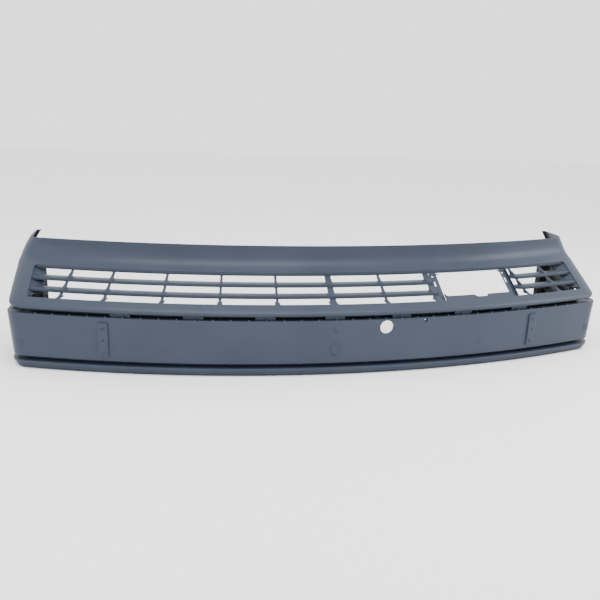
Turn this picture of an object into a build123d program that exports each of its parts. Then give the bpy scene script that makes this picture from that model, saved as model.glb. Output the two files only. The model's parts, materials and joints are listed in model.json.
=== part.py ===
from build123d import *
from math import asin, atan, cos, degrees, hypot, radians, sin, sqrt
import os

# Slatted bumper cover: a bowed valance shell over a flat strip carrier and a stepped lip.
# All sizes are millimetres.  +X is the viewer's right, the front faces -Y and +Z is up, as the
# cover stands on its lip.  The origin is the centre of the floor rectangle the cover fills.
# The front is bowed about one vertical axis, so every front piece is an arc about that axis and
# "setback" means the distance behind the carrier's face, measured towards the axis.

# Overall
carrier_half_width = 924.0        # widest point, at the top of the strip carrier
overall_depth = 459.0             # lip front to wing tips
bow_radius = 2950.0               # front bow, at the carrier's face
wall = 3.0                        # moulded skin
fit_clearance = 0.2               # between pieces that don't bear on each other

# Heights of the storeys, from the floor up
lip_height = 25.0
groove_height = 13.0
carrier_height = 128.5
channel_height = 11.5
bulge_height = 29.0
louvre_height = 66.0
chin_height = 72.0

# Strip carrier and lip
carrier_wall = 4.0
carrier_corner = 46.0
carrier_taper = 9.0               # each side is narrower at the bottom by this much
carrier_end_gap = 12.0            # carrier and lip end this far short of the wing tips
ledge_depth = 34.0
ledge_inset = 1.0                 # ledge front behind the carrier's face
lip_proud = 4.0                   # lip front ahead of the carrier's face
lip_overhang = 3.0                # lip beyond the carrier's lower edge at each side
lip_corner = 58.0
lip_steps = 3
lip_step_back = 5.0               # each step lies this far behind the one above
groove_depth = 26.0

# Valance shell.  Rows are (share of the storey's height, share of its setback, side inset)
shell_corner = 62.0
louvre_front = 29.0               # setback of the louvre face at its lower edge
louvre_back = 142.0               # setback of the louvre face at its upper edge
chin_setback = 185.0
bulge_rows = [(0.0, 0.17, 11.0), (0.14, 0.03, 7.0), (0.31, 0.02, 5.0), (0.52, 0.21, 4.0),
              (0.76, 0.59, 4.0), (1.0, 1.0, 4.0)]
chin_rows = [(0.0, 0.0, 6.0), (0.11, 0.35, 8.0), (0.24, 0.63, 10.5), (0.42, 0.84, 15.5),
             (0.65, 0.95, 23.5), (1.0, 1.0, 40.0)]

tip_flange = 14.0                 # flange turned in along each wing's rear edge

# Louvre blades and webs
aperture_margin = 60.0            # from the carrier's widest point to the slatted opening
blade_rise = 23.3                 # height from one blade's nose to the next
first_blade_rise = 17.2           # height of the lower blade's nose above the bulge
blade_depth = 33.0
blade_nose = 9.5                  # height of a blade's front edge
blade_tail = 4.0                  # thickness of a blade's back edge
rim_drop = 11.0                   # depth of the chin panel's turned-down rim
bays_each_side = 5.55             # web spacing: bays from the centre line to the opening's end
end_bay = 0.765                   # width of the bay at each end, in bays
web_thickness = 7.0
wide_web_thickness = 18.0
web_depth = 30.0
web_top_depth = 3.0               # depth left at a web's top, where it narrows under a nose
end_wall_back = 40.0              # how far the opening's end walls run behind the louvre face

# Towing-eye opening
tow_width = 234.0
tow_frame_gap = 12.0              # from the wide web to the opening's left frame
tow_web_gap = 17.0                # from the opening's right frame to the next web
tow_frame_width = 24.0
tow_frame_recess = 8.0
tow_hole_radius = 4.0
tow_slot_length = 24.0
tow_slot_width = 6.4
tow_hole_climb = 0.84             # share of the louvre face's height
tow_slot_climb = 0.60
sill_height = 9.0
notch_offset = 96.0               # from the opening's left edge to the notch
notch_width = 51.0

# Features on the strip carrier
bridge_spacing = 202.0
bridge_width = 58.0
bridge_setback = 12.0
liner_thickness = 2.0             # black strip that closes the channel behind the bridges
rib_spacing = 50.0
rib_width = 4.0
rib_height = 3.5
pad_offset = 650.6
pad_width = 28.0
pad_margin = 13.2                 # pad's ends from the carrier's edges
pad_thickness = 5.0
pad_screw_margin = 14.8           # screw axis from the pad's end
pad_hole_radius = 2.75
screw_radius = 6.5
screw_head = 2.5
round_hole_offset = 153.0
round_hole_drop = 23.5            # below the carrier's top edge
round_hole_radius = 20.0
small_hole_offset = 273.0
small_hole_drop = 6.5
small_hole_radius = 2.5
centre_screw_margins = (28.0, 27.5)   # from the carrier's bottom edge and top edge
boss_rise = 42.0                  # above the carrier's bottom edge
boss_radius = 16.0
lug_rise = 65.0
lug_width = 15.0
lug_height = 9.3
inner_plug_offset = 465.0
outer_plug_margin = 37.0
plug_radius = 11.0
trim_proud = 0.8                  # plugs, boss and lug above the carrier's face

# Wing brackets
bracket_gap = 14.0                # bracket's back plate inside the carrier's widest point
bracket_lead = 20.0               # bracket's front edge ahead of the corner's centre
bracket_end_gap = 14.0            # bracket's rear edge short of the wing tip
bracket_below = 71.5              # below the carrier's top edge
bracket_above = 33.0              # above the louvre's lower edge
bracket_plate = 3.0
bracket_rib = 3.0
bracket_rib_depth = 18.0
bracket_post_depth = 35.0
bracket_post_plate = 4.0
bracket_bays = 3
stay_width = 12.0
stay_overlap = 6.0
stay_thickness = 2.0
stay_margin = 6.0
bolt_radius = 5.0
bolt_head = 4.0
bolt_front_offset = 40.0
bolt_rear_offset = 32.0

# Worked out from the sizes above
carrier_bottom = lip_height + groove_height
carrier_top = carrier_bottom + carrier_height
bulge_bottom = carrier_top + channel_height
louvre_bottom = bulge_bottom + bulge_height
louvre_top = louvre_bottom + louvre_height
shell_height = louvre_top + chin_height
face_y = -overall_depth / 2 + lip_proud
rear_y = overall_depth / 2
carrier_back = rear_y - carrier_end_gap
carrier_foot = carrier_half_width - carrier_taper
bow_axis_y = face_y + bow_radius
bow_axis = Axis((0, bow_axis_y, 0), (0, 0, 1))
lip_step_depth = lip_step_back + wall
louvre_run = louvre_back - louvre_front
louvre_slope = atan(louvre_height / louvre_run)
aperture_half = carrier_half_width - aperture_margin
pad_middle = carrier_bottom + carrier_height / 2 - 1.3
pad_height = carrier_height - 2 * pad_margin
plug_height = carrier_bottom + boss_rise
far = 4 * (carrier_half_width + overall_depth + shell_height)


# ---------------------------------------------------------------- geometry helpers
def bow_point(angle, setback, z):
    """Point on the bow at an angle in degrees from the centre line."""
    radius = bow_radius - setback
    a = radians(angle)
    return Vector(radius * sin(a), bow_axis_y - radius * cos(a), z)


def angle_at(x, setback=0.0):
    """Angle about the bow axis at which a given setback reaches a given x."""
    return degrees(asin(x / (bow_radius - setback)))


def bow_bar(section, start, end):
    """Bar with a (setback, height) section, turned about the bow axis between two angles."""
    points = [bow_point(start, setback, z) for setback, z in section]
    face = Face(Wire.make_polygon(points, close=True))
    return revolve(face, axis=bow_axis, revolution_arc=end - start)


def slab(x0, x1, y0, y1, z0, z1):
    """Axis-aligned block between two corners."""
    return Pos((x0 + x1) / 2, (y0 + y1) / 2, (z0 + z1) / 2) * Box(x1 - x0, y1 - y0, z1 - z0)


def between(x0, x1):
    """Everything between two x planes."""
    return slab(x0, x1, -far, far, -far, far)


def corner_centre(setback, half_width, corner):
    """Centre of the plan corner that rounds the bowed front into a straight side."""
    x = half_width - corner
    reach = bow_radius - setback - corner
    return x, bow_axis_y - sqrt(reach**2 - x**2)


def plan_outline(z, setback, half_width, corner, back=rear_y):
    """Closed plan at one height: bowed front, rounded corners, straight sides and back."""
    cx, cy = corner_centre(setback, half_width, corner)
    turn = asin(cx / (bow_radius - setback - corner))
    middle = (turn + radians(90)) / 2
    front_r = bow_radius - setback
    meet = (front_r * sin(turn), bow_axis_y - front_r * cos(turn))
    bend = (cx + corner * sin(middle), cy - corner * cos(middle))
    edges = [
        Edge.make_three_point_arc((-meet[0], meet[1], z), (0, bow_axis_y - front_r, z), (*meet, z)),
        Edge.make_three_point_arc((*meet, z), (*bend, z), (half_width, cy, z)),
        Edge.make_line((half_width, cy, z), (half_width, back, z)),
        Edge.make_line((half_width, back, z), (-half_width, back, z)),
        Edge.make_line((-half_width, back, z), (-half_width, cy, z)),
        Edge.make_three_point_arc((-half_width, cy, z), (-bend[0], bend[1], z), (-meet[0], meet[1], z)),
    ]
    return Face(Wire(edges))


def plan_ring(z0, z1, setback, half_width, corner, depth, back=rear_y):
    """Flat ring that follows the plan outline, open at the back."""
    outer = extrude(plan_outline(z0, setback, half_width, corner, back), z1 - z0, dir=(0, 0, 1))
    inner_corner = max(corner - depth, 2.0)
    inner = plan_outline(z0 - 1, setback + depth, half_width - depth, inner_corner, back + 10)
    return outer - extrude(inner, z1 - z0 + 2, dir=(0, 0, 1))


def carrier_plane(x, z, proud=0.0):
    """Plane on the carrier's face with its normal pointing out of the face."""
    angle = angle_at(x)
    a = radians(angle)
    return Plane(bow_point(angle, -proud, z), x_dir=(cos(a), sin(a), 0), z_dir=(sin(a), -cos(a), 0))


def face_setback(z):
    """Setback of the louvre face at a height."""
    return louvre_front + (z - louvre_bottom) * louvre_run / louvre_height


def louvre_plane(x, climb, depth):
    """Plane a depth below the louvre face, a share of the way up it."""
    setback = louvre_front + climb * louvre_run + depth * sin(louvre_slope)
    z = louvre_bottom + climb * louvre_height - depth * cos(louvre_slope)
    angle = angle_at(x, setback)
    a = radians(angle)
    normal = (sin(a) * sin(louvre_slope), -cos(a) * sin(louvre_slope), cos(louvre_slope))
    return Plane(bow_point(angle, setback, z), x_dir=(cos(a), sin(a), 0), z_dir=normal)


def mirrored(shape):
    """The same piece on the other side of the centre line."""
    return mirror(shape, about=Plane.YZ)


def in_lengths(shape):
    """A long bowed piece as touching lengths, cut midway between bridges and at the opening's ends."""
    middles = [(i + 0.5) * bridge_spacing for i in range(-4, 4)]
    cuts = sorted([-far, -aperture_half, *middles, aperture_half, far])
    lengths = [shape & between(x0, x1) for x0, x1 in zip(cuts, cuts[1:])]
    return Compound(children=[solid for length in lengths if length for solid in length.solids()])


def save(name, shape):
    """Write one node."""
    shape.label = name
    export_step(shape, f"parts/{name}.step")


# ---------------------------------------------------------------- valance shell
def shell_profile():
    """Outer skin from the floor up, as (height, setback, half width)."""
    bulge = [(bulge_bottom + up * bulge_height, back * louvre_front, carrier_half_width - inset)
             for up, back, inset in bulge_rows]
    chin_run = chin_setback - louvre_back
    chin = [(louvre_top + up * chin_height, louvre_back + back * chin_run, carrier_half_width - inset)
            for up, back, inset in chin_rows]
    return bulge + chin


def inner_profile():
    """Shell profile moved in by the wall, measured square to the skin."""
    outer = shell_profile()
    last = len(outer) - 1
    rows = []
    for i, (z, setback, half_width) in enumerate(outer):
        below = outer[max(i - 1, 0)]
        above = outer[min(i + 1, last)]
        rise = above[0] - below[0]
        run = max(above[1] - below[1], 0.0)
        overrun = {0: -1.0, last: 1.0}.get(i, 0.0)
        rows.append((z + overrun, setback + wall * hypot(rise, run) / rise, half_width - wall))
    return rows


def shell_block(profile, corner, back):
    """Solid block inside one skin of the shell."""
    return loft([plan_outline(z, s, w, corner, back) for z, s, w in profile], ruled=True)


def chin_rim():
    """Rim turned down along the lower edge of the chin panel."""
    top_corner = louvre_top - rim_drop
    section = [(louvre_back, top_corner), (louvre_back, louvre_top),
               (louvre_back + wall, louvre_top + wall * 0.8), (louvre_back + wall, top_corner)]
    reach = angle_at(aperture_half, louvre_back) + 1
    return bow_bar(section, -reach, reach) & between(-aperture_half, aperture_half)


def shell_skin(cavity):
    """Skin of the shell, from the bulge's lower edge to the chin's upper edge."""
    return shell_block(shell_profile(), shell_corner, rear_y) - cavity


def chin_panel(skin):
    """Panel above the slatted opening."""
    return skin & slab(-aperture_half, aperture_half, -far, far, louvre_top, shell_height)


def bulge(skin):
    """Rounded band below the slatted opening."""
    return skin & slab(-aperture_half, aperture_half, -far, far, bulge_bottom, louvre_bottom)


def wing(skin):
    """Right-hand corner and return wing, from the slatted opening to the flange on the wing tip."""
    narrower = [(z, setback, half_width - tip_flange) for z, setback, half_width in shell_profile()]
    flange = shell_block(shell_profile(), shell_corner, rear_y)
    flange -= shell_block(narrower, shell_corner - tip_flange, rear_y + 10)
    flange &= slab(aperture_half, far, rear_y - wall, rear_y, bulge_bottom, shell_height)
    return (skin & slab(aperture_half, far, -far, far, bulge_bottom, shell_height)) + flange


def bulge_ledge(cavity, ledge_back):
    """Ledge turned in along the bulge's lower edge."""
    z, setback, half_width = shell_profile()[0]
    return plan_ring(z, z + wall, setback, half_width, shell_corner, ledge_depth, ledge_back) & cavity


def end_wall(cavity):
    """Right-hand wall of the slatted opening, inside the shell."""
    sagitta = bow_radius - sqrt(bow_radius**2 - aperture_half**2)
    low = face_y + sagitta + louvre_front
    high = low + louvre_run
    corners = [(low - end_wall_back, louvre_bottom), (low + end_wall_back, louvre_bottom),
               (high + end_wall_back, louvre_top), (high - end_wall_back, louvre_top)]
    points = [Vector(aperture_half, y, z) for y, z in corners]
    plate = extrude(Face(Wire.make_polygon(points, close=True)), wall, dir=(1, 0, 0))
    return plate & cavity


# ---------------------------------------------------------------- louvre blades and webs
def blade_nose_point(index):
    """(setback, height) of a blade's upper front edge, on the louvre face."""
    top = louvre_bottom + first_blade_rise + (index - 1) * blade_rise
    return face_setback(top), top


def blade(index, x0, x1):
    """Blade 1, the lower, or blade 2, the upper, between two x planes."""
    nose, top = blade_nose_point(index)
    tail = nose + blade_depth
    section = [(nose, top - blade_nose), (nose, top), (tail, top), (tail, top - blade_tail)]
    return bow_bar(section, angle_at(x0, louvre_back) - 1, angle_at(x1) + 1) & between(x0, x1)


def web_group(angle, thickness, room):
    """Webs that tie the chin rim, the blades and the bulge together at one angle.

    Each web starts at the front edge of what is below it and ends under the front edge of what is
    above it, so the blades' noses run on unbroken in front of it. Its rear edge is nearly upright.
    """
    (nose_1, top_1), (nose_2, top_2) = [blade_nose_point(index) for index in (1, 2)]
    rim_edge = louvre_top - rim_drop
    under_nose = blade_nose - (blade_nose - blade_tail) * web_top_depth / blade_depth
    sections = [[(louvre_front, louvre_bottom), (nose_1, top_1 - blade_nose),
                 (nose_1 + web_top_depth, top_1 - under_nose), (louvre_front + web_depth, louvre_bottom)],
                [(nose_1, top_1), (nose_2, top_2 - blade_nose), (nose_2 + web_top_depth, top_2 - under_nose),
                 (nose_1 + web_depth, top_1)],
                [(nose_2, top_2), (louvre_back, rim_edge), (louvre_back + web_top_depth, rim_edge),
                 (nose_2 + web_depth, top_2)]]
    half = degrees(thickness / 2 / (bow_radius - louvre_back))
    return Compound(children=[bow_bar(section, angle - half, angle + half) & room for section in sections])


# ---------------------------------------------------------------- towing-eye opening
def tow_frame(x0, x1, hole_x):
    """Sloping side plate of the towing-eye opening with a hole and a slot in it."""
    drop = tow_frame_recess / cos(louvre_slope)
    section = [(louvre_front, louvre_bottom - drop), (louvre_back, louvre_top - drop),
               (louvre_back, louvre_top - drop - wall), (louvre_front, louvre_bottom - drop - wall)]
    plate = bow_bar(section, angle_at(x0) - 1, angle_at(x1, louvre_back) + 1) & between(x0, x1)
    hole = louvre_plane(hole_x, tow_hole_climb, tow_frame_recess)
    slot = louvre_plane(hole_x, tow_slot_climb, tow_frame_recess)
    outline = Rot(0, 0, 90) * SlotOverall(tow_slot_length, tow_slot_width)
    return plate - hole * Cylinder(tow_hole_radius, 8 * wall) - slot * extrude(outline, 4 * wall, both=True)


def tow_sill(x0, x1):
    """Raised strip along the bottom of the towing-eye opening, with a notch in it."""
    top = louvre_bottom + sill_height
    head = face_setback(top)
    depth = 2 * wall
    section = [(louvre_front, louvre_bottom), (head, top), (head + depth, top),
               (louvre_front + depth, louvre_bottom)]
    bar = bow_bar(section, angle_at(x0) - 1, angle_at(x1, louvre_back) + 1) & between(x0, x1)
    notch_x = x0 + notch_offset
    return bar - slab(notch_x, notch_x + notch_width, -far, far, louvre_bottom + sill_height / 2, louvre_top)


# ---------------------------------------------------------------- strip carrier and lip
def carrier_block(inset, overrun, back):
    """Solid block inside one skin of the carrier."""
    corner = carrier_corner - inset
    foot = plan_outline(carrier_bottom - overrun, inset, carrier_foot - inset, corner, back)
    head = plan_outline(carrier_top + overrun, inset, carrier_half_width - inset, corner, back)
    return loft([foot, head], ruled=True)


def strip_carrier(hollow):
    """Flat band that follows the bow and turns back along each side, with its holes."""
    band = carrier_block(0, 0, carrier_back) - hollow
    holes = [(round_hole_offset, carrier_top - round_hole_drop, round_hole_radius),
             (small_hole_offset, carrier_top - small_hole_drop, small_hole_radius),
             (pad_offset, pad_middle, pad_hole_radius), (-pad_offset, pad_middle, pad_hole_radius)]
    for x, z, radius in holes:
        band -= carrier_plane(x, z) * Cylinder(radius, 3 * carrier_wall)
    return band


def carrier_ledge(z, half_width, hollow, ledge_back):
    """Ledge turned in from the band at one height."""
    ring = plan_ring(z, z + wall, ledge_inset, half_width - ledge_inset, carrier_corner, ledge_depth,
                     ledge_back)
    return ring & hollow


def lip_ring(low, high, inset, depth, back=carrier_back):
    """Flat ring a distance in from the lip's front edge."""
    return plan_ring(low, high, inset - lip_proud, carrier_foot + lip_overhang - inset,
                     lip_corner - inset, depth, back)


def stepped_lip():
    """Lip whose steps each lie a little behind the one above."""
    step = lip_height / lip_steps
    lip = None
    for i in range(lip_steps):
        top = lip_height - i * step
        ring = lip_ring(top - step, top, i * lip_step_back, lip_step_depth)
        lip = ring if lip is None else lip + ring
    return lip


def lip_shelf():
    """Flange turned in along the lip's upper edge."""
    return lip_ring(lip_height - wall, lip_height, lip_step_depth, ledge_depth - lip_step_depth)


def lip_base():
    """Flange turned in along the lip's lower edge."""
    start = (lip_steps - 1) * lip_step_back + lip_step_depth
    return lip_ring(0, wall, start, ledge_depth - start)


def groove_web(ledge_back):
    """Upright web between the lip's shelf and the carrier's lower ledge."""
    return plan_ring(lip_height, carrier_bottom, groove_depth, carrier_foot - groove_depth,
                     lip_corner - groove_depth, wall, ledge_back)


def bridge(x):
    """One upright tab between the carrier's top ledge and the bulge's ledge."""
    middle = angle_at(x)
    half = degrees(bridge_width / 2 / bow_radius)
    back = bridge_setback + wall
    section = [(bridge_setback, carrier_top), (bridge_setback, bulge_bottom), (back, bulge_bottom),
               (back, carrier_top)]
    return bow_bar(section, middle - half, middle + half)


def channel_liner():
    """Strip that closes the back of the channel between the carrier's and the bulge's ledges."""
    back = ledge_depth
    section = [(back - liner_thickness, carrier_top), (back - liner_thickness, bulge_bottom),
               (back, bulge_bottom), (back, carrier_top)]
    reach = angle_at(aperture_half)
    return bow_bar(section, -reach, reach)


def rib_row(setback, z0, depth):
    """Row of small ribs standing on a height, evenly spaced about the centre line."""
    step = degrees(rib_spacing / bow_radius)
    half = degrees(rib_width / 2 / bow_radius)
    count = int(angle_at(aperture_half) / step)
    z1 = z0 + rib_height
    section = [(setback, z0), (setback, z1), (setback + depth, z1), (setback + depth, z0)]
    ribs = [bow_bar(section, i * step - half, i * step + half) for i in range(-count, count + 1)]
    return Compound(children=ribs)


def fixing_pad(x):
    """Raised plate with two screw seats and a hole."""
    half = degrees(pad_width / 2 / bow_radius)
    low = pad_middle - pad_height / 2
    high = pad_middle + pad_height / 2
    section = [(0, low), (-pad_thickness, low), (-pad_thickness, high), (0, high)]
    plate = bow_bar(section, angle_at(x) - half, angle_at(x) + half)
    return plate - carrier_plane(x, pad_middle) * Cylinder(pad_hole_radius, 6 * pad_thickness)


def domed_screw(plane):
    """Low cheese-head screw with a drive recess, seated on a plane."""
    head = Pos(0, 0, screw_head / 2) * Cylinder(screw_radius, screw_head)
    head = chamfer(head.edges().group_by(Axis.Z)[-1], screw_head * 0.4)
    return plane * (head - Pos(0, 0, screw_head) * Cylinder(screw_radius * 0.3, screw_head))


def pad_screws():
    """Two screws on each fixing pad."""
    reach = pad_height / 2 - pad_screw_margin
    places = [(side * pad_offset, pad_middle + up * reach) for side in (-1, 1) for up in (-1, 1)]
    return Compound(children=[domed_screw(carrier_plane(x, z, pad_thickness)) for x, z in places])


def centre_screws():
    """Two screws on the centre line; the lower one sits on the boss."""
    low, high = centre_screw_margins
    places = [(carrier_bottom + low, trim_proud), (carrier_top - high, 0.0)]
    return Compound(children=[domed_screw(carrier_plane(0, z, proud)) for z, proud in places])


def on_face(x, z, flat):
    """A flat trim piece at a place on the carrier, bedded on the bowed face."""
    middle = angle_at(x)
    behind = bow_bar([(0, carrier_bottom), (0, carrier_top), (carrier_wall, carrier_top),
                      (carrier_wall, carrier_bottom)], middle - 2, middle + 2)
    return carrier_plane(x, z) * flat - behind


def hole_plugs():
    """Blanking discs in the carrier's four spare holes."""
    offsets = (inner_plug_offset, carrier_half_width - outer_plug_margin)
    disc = Cylinder(plug_radius, 2 * trim_proud)
    return Compound(children=[on_face(side * x, plug_height, disc) for side in (-1, 1) for x in offsets])


# ---------------------------------------------------------------- wing brackets
def bracket_frame():
    """Limits of the right-hand bracket: x of its back plate, y front and rear, z low and high."""
    high = louvre_bottom + bracket_above
    centre_y = corner_centre(face_setback(high), carrier_half_width, shell_corner)[1]
    x = carrier_half_width - bracket_gap
    return x, centre_y - bracket_lead, rear_y - bracket_end_gap, carrier_top - bracket_below, high


def wing_bracket():
    """Right-hand ribbed bracket inside the wing, with a post at its rear edge."""
    x, y0, y1, z0, z1 = bracket_frame()
    inner = x - bracket_plate
    edge = inner - bracket_rib_depth
    body = slab(inner, x, y0, y1, z0, z1)
    body += slab(inner - bracket_post_depth, inner, y1 - bracket_post_plate, y1, z0, z1)
    body += slab(edge, inner, y0, y0 + bracket_rib, z0, z1)
    body += slab(edge, inner, y0, y1, z0, z0 + bracket_rib)
    body += slab(edge, inner, y0, y1, z1 - bracket_rib, z1)
    bay = (z1 - z0) / bracket_bays
    for i in range(bracket_bays):
        low = z0 + i * bay
        corners = [(y0, low), (y1, low + bay - bracket_rib), (y1, low + bay), (y0, low + bracket_rib)]
        points = [Vector(edge, y, z) for y, z in corners]
        body += extrude(Face(Wire.make_polygon(points, close=True)), bracket_rib_depth, dir=(1, 0, 0))
    return body


def skin_inside(z):
    """Half width inside the skin at the height of a bolt, clear of the skin's taper."""
    rows = [(carrier_bottom, carrier_foot - carrier_wall), (carrier_top, carrier_half_width - carrier_wall)]
    rows += [(height, half_width) for height, _, half_width in inner_profile()]
    pairs = list(zip(rows, rows[1:]))
    edges = []
    for level in (z - bolt_radius, z + bolt_radius):
        for (z_low, w_low), (z_high, w_high) in pairs:
            if z_low <= level <= z_high:
                edges.append(w_low + (w_high - w_low) * (level - z_low) / (z_high - z_low))
    return min(edges) - fit_clearance


def bracket_bolts():
    """Round bolt heads inside the right-hand bracket and their spacers out to the skin."""
    x, y0, y1, z0, z1 = bracket_frame()
    bay = (z1 - z0) / bracket_bays
    high = z1 - bay / 2
    low = z0 + bay / 2
    places = [(y0 + bolt_front_offset, high), (y1 - bolt_rear_offset, high - bolt_radius),
              (y1 - bolt_rear_offset, low - bolt_radius)]
    heads = []
    spacers = []
    for y, z in places:
        skin = skin_inside(z)
        turn = Rot(0, 90, 0)
        heads.append(Pos(x - bracket_plate - bolt_head / 2, y, z) * turn * Cylinder(bolt_radius, bolt_head))
        spacers.append(Pos((x + skin) / 2, y, z) * turn * Cylinder(bolt_radius, skin - x))
    return heads, spacers


def stay():
    """Right-hand flat metal stay on the inboard edge of the bracket's post."""
    x, _, y1, z0, z1 = bracket_frame()
    edge = x - bracket_plate - bracket_post_depth
    back = y1 - bracket_post_plate
    return slab(edge - stay_width, edge + stay_overlap, back - stay_thickness, back, z0 + stay_margin,
                z1 - 2 * stay_margin)


# ---------------------------------------------------------------- build everything
def build_shell(cavity, rim, ledge_back):
    """Chin panel with its rim, bulge with its ledge, and the two wings."""
    skin = shell_skin(cavity)
    right = wing(skin)
    save("chin_panel", in_lengths(chin_panel(skin) - rim))
    save("chin_rim", in_lengths(rim))
    save("bulge", in_lengths(bulge(skin)))
    save("bulge_ledge", in_lengths(bulge_ledge(cavity, ledge_back)))
    save("wing_right", right)
    save("wing_left", mirrored(right))


def build_louvres(cavity):
    """Blades, webs, end walls and the frame of the towing-eye opening."""
    pitch = angle_at(aperture_half, louvre_back) / bays_each_side
    end_web = angle_at(aperture_half, louvre_back) - pitch * end_bay
    frame_left_x = (bow_radius - louvre_back) * sin(radians(2 * pitch)) + tow_frame_gap
    tow_left = frame_left_x + tow_frame_width
    tow_right = tow_left + tow_width
    frame_right_x = tow_right + tow_frame_width

    wall_right = end_wall(cavity)
    save("louvre_end_wall_right", wall_right)
    save("louvre_end_wall_left", mirrored(wall_right))

    long_run = (-aperture_half, frame_left_x)
    short_run = (frame_right_x, aperture_half)
    for index, name in enumerate(("lower", "upper"), start=1):
        save(f"louvre_blade_{name}_long", in_lengths(blade(index, *long_run)))
        save(f"louvre_blade_{name}_short", blade(index, *short_run))

    webs = [(-end_web, web_thickness, long_run)]
    for n in range(-4, 3):
        thickness = wide_web_thickness if n in (0, 2) else web_thickness
        webs.append((n * pitch, thickness, long_run))
    webs.append((angle_at(frame_right_x + tow_web_gap, louvre_back), web_thickness, short_run))
    webs.append((end_web, web_thickness, short_run))
    for number, (angle, thickness, run) in enumerate(webs, start=1):
        save(f"louvre_web_{number:02d}", web_group(angle, thickness, between(*run)))

    save("tow_frame_left", tow_frame(frame_left_x, tow_left, frame_left_x + 0.4 * tow_frame_width))
    save("tow_frame_right", tow_frame(tow_right, frame_right_x, tow_right + 0.3 * tow_frame_width))
    save("tow_sill", tow_sill(tow_left, tow_right))


def build_carrier(ledge_back):
    """Strip carrier, lip and everything mounted on the carrier's face."""
    hollow = carrier_block(carrier_wall, 1, rear_y)
    upper = (carrier_top - wall, carrier_half_width - ledge_inset)
    pieces = {"strip_carrier": strip_carrier(hollow),
              "carrier_lower_ledge": carrier_ledge(carrier_bottom, carrier_foot, hollow, ledge_back),
              "carrier_upper_ledge": carrier_ledge(*upper, hollow, ledge_back),
              "stepped_lip": stepped_lip(), "lip_shelf": lip_shelf(), "lip_base": lip_base(),
              "groove_web": groove_web(ledge_back)}
    for name, shape in pieces.items():
        save(name, in_lengths(shape))
    for number, step in enumerate(range(-3, 4), start=1):
        save(f"channel_bridge_{number}", bridge(step * bridge_spacing))
    save("channel_liner", in_lengths(channel_liner()))
    save("carrier_top_ribs", rib_row(ledge_inset, carrier_top, 2 * carrier_wall))
    save("groove_ribs", rib_row(2 * wall, carrier_bottom - rib_height, groove_depth - 3 * wall))
    save("fixing_pad_left", fixing_pad(-pad_offset))
    save("fixing_pad_right", fixing_pad(pad_offset))
    save("pad_screws", pad_screws())
    save("centre_screws", centre_screws())
    save("centre_boss", on_face(0, carrier_bottom + boss_rise, Cylinder(boss_radius, 2 * trim_proud)))
    save("square_lug", on_face(0, carrier_bottom + lug_rise, Box(lug_width, lug_height, 2 * trim_proud)))
    save("hole_plugs", hole_plugs())


def build_brackets():
    """Bracket, stay, bolts and spacers inside each wing."""
    bracket = wing_bracket()
    strip = stay()
    heads, spacers = bracket_bolts()
    save("wing_bracket_right", bracket)
    save("wing_bracket_left", mirrored(bracket))
    save("bracket_stay_right", strip)
    save("bracket_stay_left", mirrored(strip))
    save("bracket_bolts", Compound(children=[*heads, *[mirrored(piece) for piece in heads]]))
    save("bracket_spacers", Compound(children=[*spacers, *[mirrored(piece) for piece in spacers]]))


def main():
    os.makedirs("parts", exist_ok=True)
    cavity = shell_block(inner_profile(), shell_corner - wall, rear_y + 10)
    rim = chin_rim()
    ledge_back = bracket_frame()[1] - 2 * wall
    build_shell(cavity, rim, ledge_back)
    build_louvres(cavity)
    build_carrier(ledge_back)
    build_brackets()


if __name__ == "__main__":
    main()
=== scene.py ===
import json
import logging
from dataclasses import dataclass, field
from enum import Enum
from typing import Optional, Sequence

import bmesh
import bpy
import numpy as np
from mathutils import Matrix, Vector

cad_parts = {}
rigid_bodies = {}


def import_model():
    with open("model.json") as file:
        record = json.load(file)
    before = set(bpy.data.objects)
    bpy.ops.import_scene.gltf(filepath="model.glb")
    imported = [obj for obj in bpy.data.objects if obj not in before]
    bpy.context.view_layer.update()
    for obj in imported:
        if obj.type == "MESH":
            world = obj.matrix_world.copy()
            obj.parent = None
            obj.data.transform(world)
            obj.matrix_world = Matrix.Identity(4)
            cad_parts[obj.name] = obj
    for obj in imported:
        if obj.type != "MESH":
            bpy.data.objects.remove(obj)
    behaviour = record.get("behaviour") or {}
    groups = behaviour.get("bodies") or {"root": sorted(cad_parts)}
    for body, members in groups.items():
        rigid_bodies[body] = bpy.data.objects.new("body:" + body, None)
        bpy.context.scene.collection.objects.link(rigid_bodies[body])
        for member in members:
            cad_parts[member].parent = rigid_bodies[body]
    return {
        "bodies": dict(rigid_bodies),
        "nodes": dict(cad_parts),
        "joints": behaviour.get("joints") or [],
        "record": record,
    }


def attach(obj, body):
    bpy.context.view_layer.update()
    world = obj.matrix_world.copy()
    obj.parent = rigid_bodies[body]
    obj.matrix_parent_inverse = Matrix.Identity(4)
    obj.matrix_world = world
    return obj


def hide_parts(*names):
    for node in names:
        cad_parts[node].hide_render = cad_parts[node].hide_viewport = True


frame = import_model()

MM = 0.001
LOG = logging.getLogger("bumper_cover")
Array = np.ndarray


# ---------------------------------------------------------------- finishes
class Slot(Enum):
    """Material slots of the record."""

    PRIMER = "primer"
    FIXING = "primed_fixing"
    PLASTIC = "black_plastic"
    ZINC = "zinc_steel"


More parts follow.
